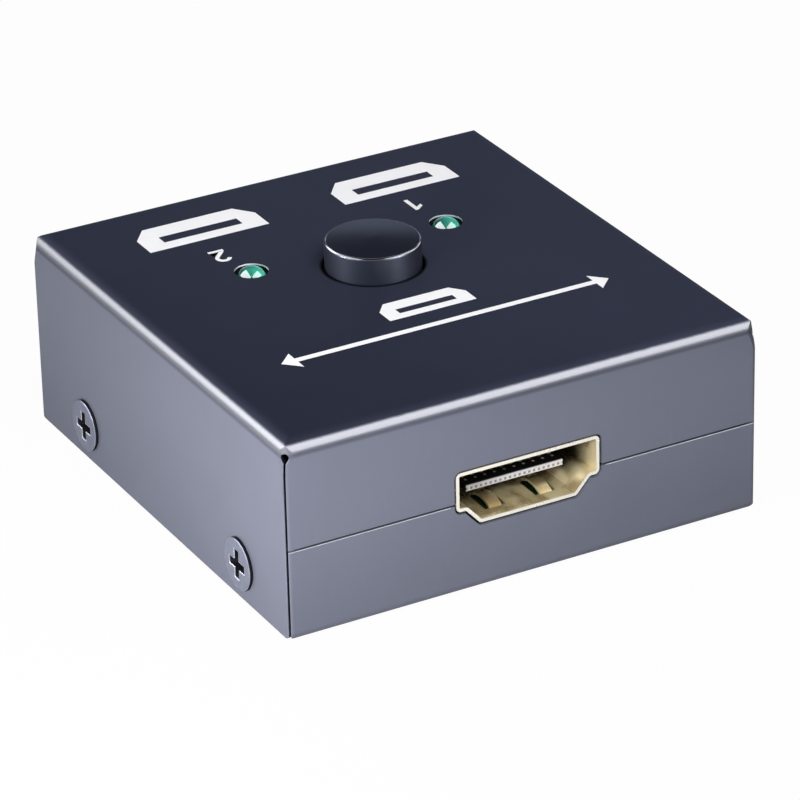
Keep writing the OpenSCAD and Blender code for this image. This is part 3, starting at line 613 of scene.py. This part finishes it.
def mesh_from_curve(name, curve, material, height=0.0):
    """Makes a piece with a mesh out of a curve, raised to a height."""
    source = add_object(name + "_source", curve)
    bpy.context.view_layer.update()
    seen = source.evaluated_get(bpy.context.evaluated_depsgraph_get())
    mesh = bpy.data.meshes.new_from_object(seen)
    bpy.data.objects.remove(source)
    mesh.transform(Matrix.Translation((0, 0, height)))
    mesh.materials.clear()
    mesh.materials.append(material)
    return add_object(name, mesh)


# Printed marks on the top, drawn in millimetres as they read from the back

INK_T = 0.012 * MM
NUMBER_1_X, NUMBER_1_Y, NUMBER_1_H = -9.45, -13.4, 2.5
NUMBER_2_X, NUMBER_2_Y, NUMBER_2_H = 11.3, -12.75, 2.6
PORT_SIGN_Y, PORT_SIGN_W, PORT_SIGN_H = -20.4, 12.5, 4.9
FRONT_SIGN_Y, FRONT_SIGN_W, FRONT_SIGN_H = 5.6, 9.0, 3.4
ARROW_Y, ARROW_L, ARROW_W, ARROW_BAR = 11.6, 34.0, 3.0, 0.7


def print_marks(name, loops, ink):
    """Prints flat shapes, given as loops of points, as a thin layer that rides on the case."""
    curve = bpy.data.curves.new(name, "CURVE")
    curve.dimensions = "2D"
    curve.fill_mode = "BOTH"
    curve.extrude = INK_T / 2
    for loop in loops:
        spline = curve.splines.new("POLY")
        spline.points.add(len(loop) - 1)
        spline.use_cyclic_u = True
        for point, (x, y) in zip(spline.points, loop):
            point.co = (-x * MM, -y * MM, 0, 1)
    piece = mesh_from_curve(name, curve, ink, TOP_Z * MM + INK_T / 2)
    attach(piece, "case")


def moved(loops, x, y):
    """Loops of points moved to a place."""
    return [[(x + px, y + py) for px, py in loop] for loop in loops]


def stroke(path, width):
    """Outline of a pen stroke of even width along a path of points."""
    sides = []
    for i, point in enumerate(path):
        before = Vector(path[max(i - 1, 0)])
        after = Vector(path[min(i + 1, len(path) - 1)])
        along = (after - before).normalized()
        aside = Vector((-along.y, along.x)) * width / 2
        sides.append((Vector(point) + aside, Vector(point) - aside))
    return [tuple(left) for left, _ in sides] + [tuple(right) for _, right in reversed(sides)]


def number_one(height):
    """Plain digit 1 over its foot's middle: an upright with a slanting flag."""
    pen = 0.42
    flag_reach, flag_drop, flag_end = 0.85, 0.62, 1.06
    return [[(pen / 2, 0), (pen / 2, height), (-pen / 4, height), (-flag_reach, height - flag_drop),
             (-flag_reach, height - flag_end), (-pen / 2, height - flag_drop), (-pen / 2, 0)]]


def number_two(height):
    """Plain digit 2 over its foot's middle: a bow, a slanting back and a flat foot."""
    pen = 0.4
    half = 0.78
    tuck = 0.05
    bow_start, bow_end, bow_step = 165, -45, 15
    bow_r = half - pen / 2
    middle = height - pen / 2 - bow_r
    turns = [math.radians(turn) for turn in range(bow_start, bow_end - 1, -bow_step)]
    bow = [(bow_r * math.cos(turn), middle + bow_r * math.sin(turn)) for turn in turns]
    back = (pen / 2 - half + tuck, pen)
    foot = [(-half, 0), (half, 0), (half, pen), (-half, pen)]
    return [stroke(bow + [back], pen), foot]


def socket_sign(width, height):
    """Filled outline of a socket's mouth, with a slot for its tongue."""
    half = width / 2
    shoulder = 0.4 * height
    slant = 0.12 * width
    slot_half, slot_low, slot_high = 0.66 * half, 0.45 * height, 0.72 * height
    outline = [(-half, height), (half, height), (half, shoulder), (half - slant, 0), (slant - half, 0),
               (-half, shoulder)]
    slot = [(-slot_half, slot_high), (slot_half, slot_high), (slot_half, slot_low), (-slot_half, slot_low)]
    return [outline, slot]


def arrow_sign(length, width, bar):
    """Arrow with a head at each end, pointing along X."""
    half = length / 2
    neck = half - width / 2
    right = [(neck, -bar / 2), (neck, -width / 2), (half, 0), (neck, width / 2), (neck, bar / 2)]
    left = [(-px, -py) for px, py in right]
    return [right + left]


def print_top():
    """Plain numbers beside the lights, and signs for the sockets and for both directions of use."""
    ink = print_ink()
    port = socket_sign(PORT_SIGN_W, PORT_SIGN_H)
    front = socket_sign(FRONT_SIGN_W, FRONT_SIGN_H)
    arrow = arrow_sign(ARROW_L, ARROW_W, ARROW_BAR)
    ports = moved(port, -PORT_X, PORT_SIGN_Y) + moved(port, PORT_X, PORT_SIGN_Y)
    print_marks("print_number_1", moved(number_one(NUMBER_1_H), NUMBER_1_X, NUMBER_1_Y), ink)
    print_marks("print_number_2", moved(number_two(NUMBER_2_H), NUMBER_2_X, NUMBER_2_Y), ink)
    print_marks("print_port_signs", ports, ink)
    print_marks("print_direction_sign", moved(arrow, 0, ARROW_Y), ink)
    print_marks("print_front_sign", moved(front, 0, FRONT_SIGN_Y), ink)


# Return spring under the button


def wind_spring():
    """One smooth coil in place of the plain solid."""
    low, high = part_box("switch_spring")
    wire_r = 0.2 * MM
    coil_r = (high.x - low.x) / 2 - wire_r
    rise = high.z - low.z - 2 * wire_r
    turns = 3.5
    steps = 24
    count = int(turns * steps) + 1
    curve = bpy.data.curves.new("return_spring", "CURVE")
    curve.dimensions = "3D"
    curve.bevel_depth = wire_r
    curve.bevel_resolution = 3
    curve.use_fill_caps = True
    spline = curve.splines.new("POLY")
    spline.points.add(count - 1)
    for i, point in enumerate(spline.points):
        turn = 2 * math.pi * i / steps
        climb = low.z + wire_r + rise * i / (count - 1)
        point.co = (BUTTON.x + coil_r * math.cos(turn), BUTTON.y + coil_r * math.sin(turn), climb, 1)
    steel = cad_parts["switch_spring"].data.materials[0]
    piece = mesh_from_curve("return_spring", curve, steel)
    piece.data.shade_smooth()
    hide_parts("switch_spring")
    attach(piece, "case")
    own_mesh(piece)


# Studio

FLOOR_Z = -0.02 * MM
FLOOR_REACH = 4.0
FLOOR_WHITE = 0.97

# Pool of light that reflections see on the floor: where it rises beside the case and where it ends, faster
# at the sides, its brightest spot and where it dims from there, and its light close to the case and far off
POOL_RISE, POOL_END, POOL_SIDE = (0, 28), (33, 54), 1.8
POOL_SPOT, POOL_DIM = (-40, -45), (10, 105)
POOL_CLOSE, POOL_FAR = 0.45, 0.38

# Light of the room, as it falls on the case, as the camera sees it and in reflections, and lamps' colours
ROOM_LIGHT, ROOM_SEEN, ROOM_REFLECTED = 0.35, 1.0, 0.03
WHITE, COOL_WHITE, SKY_BLUE = (1.0, 1.0, 1.0), (0.80, 0.84, 1.0), (0.66, 0.76, 1.0)


def aimed(target, azimuth, elevation, distance, roll=0.0):
    """The place and turn of a camera or lamp that looks at a target."""
    turn, lift, lean = (math.radians(angle) for angle in (azimuth, elevation, roll))
    back = Vector((math.sin(turn) * math.cos(lift), -math.cos(turn) * math.cos(lift), math.sin(lift)))
    level = Vector((math.cos(turn), math.sin(turn), 0))
    upright = back.cross(level)
    right = level * math.cos(lean) + upright * math.sin(lean)
    up = upright * math.cos(lean) - level * math.sin(lean)
    axes = Matrix((right, up, back)).transposed().to_4x4()
    return Matrix.Translation(target + back * distance) @ axes


def set_camera():
    """The camera of the photograph."""
    camera = bpy.data.cameras.new("photo_camera")
    camera.lens = CAMERA_LENS
    camera.sensor_width = CAMERA_SENSOR
    camera.clip_start = CAMERA_NEAR
    holder = add_object("photo_camera", camera)
    holder.matrix_world = aimed(
        CAMERA_TARGET, CAMERA_AZIMUTH, CAMERA_ELEVATION, CAMERA_DISTANCE, CAMERA_ROLL)
    bpy.context.scene.camera = holder


def lay_floor():
    """A wide floor: the camera sees it white with a faint shadow, and reflections see a pool of light."""
    square = ((-1, -1), (1, -1), (1, 1), (-1, 1))
    corners = [(x * FLOOR_REACH, y * FLOOR_REACH, FLOOR_Z) for x, y in square]
    mesh = bpy.data.meshes.new("studio_floor")
    mesh.from_pydata(corners, [], [(0, 1, 2, 3)])
    floor = add_object("studio_floor", mesh)
    look = Look("studio_floor")
    look.set(Base_Color=rgb(0.50, 0.50, 0.50), Roughness=0.9, Specular_IOR_Level=0.0)
    glow = look.node("ShaderNodeEmission", sockets={"Color": rgb(1, 1, 1), "Strength": 1.0})
    black = look.node("ShaderNodeEmission", sockets={"Color": rgb(0, 0, 0), "Strength": 0.0})
    place = look.place()
    across, along, _ = look.axes(place)
    beside = (POOL_SIDE * (abs(across) - CASE_HIGH.x)).most(abs(along) - CASE_HIGH.y)
    pool = look.step(beside, *POOL_RISE, POOL_CLOSE, 1.0) * look.fade(beside, *POOL_END)
    pool = pool * look.step(look.distance(place, *POOL_SPOT), *POOL_DIM, 1.0, POOL_FAR)
    plain = look.mix(FLOOR_WHITE * look.rays("Camera"), look.surface, glow)
    seen = look.mix(look.rays("Glossy"), plain, look.mix(pool, black, glow))
    look.feed(look.output.inputs["Surface"], seen)
    mesh.materials.append(look.material)


def set_world():
    """A plain white room: dimmer as a light than as it is seen, and dark in reflections."""
    world = bpy.data.worlds.new("studio_room")
    bpy.context.scene.world = world
    room = Tree(world)
    seen = (ROOM_SEEN - ROOM_LIGHT) * room.rays("Camera")
    reflected = (ROOM_REFLECTED - ROOM_LIGHT) * room.rays("Glossy")
    glow = room.node("ShaderNodeBackground", sockets={"Strength": ROOM_LIGHT + seen + reflected})
    room.make("ShaderNodeOutputWorld", sockets={"Surface": glow})


def softbox(name, at, size, power, colour=WHITE, glossy=True, only=(), but=(), lift=0.0):
    """A rectangular lamp aimed at the middle of the case, which shows in reflections or gives plain light.

    It stands at an azimuth and elevation, counted as the camera's are, and a distance, and lift raises it
    as it stands. Its light falls only on some pieces, or on all but some, where they are named.
    """
    lamp = bpy.data.lights.new(name, "AREA")
    lamp.shape = "RECTANGLE"
    lamp.size, lamp.size_y = size
    lamp.energy = power
    lamp.color = colour
    holder = add_object(name, lamp)
    holder.matrix_world = aimed(Vector((0, 0, TOP_Z * MM / 2 + lift)), *at)
    holder.visible_diffuse = not glossy
    holder.visible_glossy = glossy
    if only or but:
        lit = bpy.data.collections.new(name + "_lit")
        for node in only + but:
            lit.objects.link(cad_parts[node])
        for linked in lit.collection_objects:
            linked.light_linking.link_state = "INCLUDE" if only else "EXCLUDE"
        holder.light_linking.receiver_collection = lit


def light_studio():
    """Panels and strips that show in reflections, and three lamps for the light itself."""
    cap = ("button_cap",)
    shell = ("front_socket_shell",)
    outside = ("top_cover", "bottom_cover", "case_screws", "button_cap")
    softbox("right_panel", (38, 41, 0.45), (0.62, 0.45), 3.5, but=cap)
    softbox("left_panel", (-100, 40, 0.45), (0.80, 0.50), 6.3, but=cap)
    softbox("back_left_panel", (-147, 23, 0.55), (0.34, 0.33), 0.77, only=outside)
    softbox("back_right_panel", (151, 10, 0.50), (0.50, 0.25), 0.21, SKY_BLUE)
    softbox("cap_left_panel", (-105, 0, 0.45), (0.90, 0.60), 1.75, only=cap, lift=0.42)
    softbox("cap_right_panel", (46, 0, 0.45), (0.80, 0.60), 1.5, only=cap, lift=0.42)
    for side, azimuth in (("left", -97), ("right", 29)):
        softbox("cap_" + side + "_strip", (azimuth, 7, 0.45), (0.10, 0.11), 3.9, COOL_WHITE, only=cap)
    softbox("cap_far_panel", (92, 9, 0.45), (0.36, 0.20), 0.22, only=cap)
    softbox("sky_lamp", (0, 55, 0.60), (0.40, 0.40), 2.9, glossy=False)
    softbox("corner_lamp", (-61, 8, 0.12), (0.06, 0.06), 0.20, glossy=False)
    softbox("socket_lamp", (-42, 30, 0.25), (0.08, 0.08), 0.40, glossy=False, only=shell)


dress_nodes()
print_top()
wind_spring()
set_camera()
lay_floor()
set_world()
light_studio()
bpy.context.scene.view_settings.view_transform = "Standard"
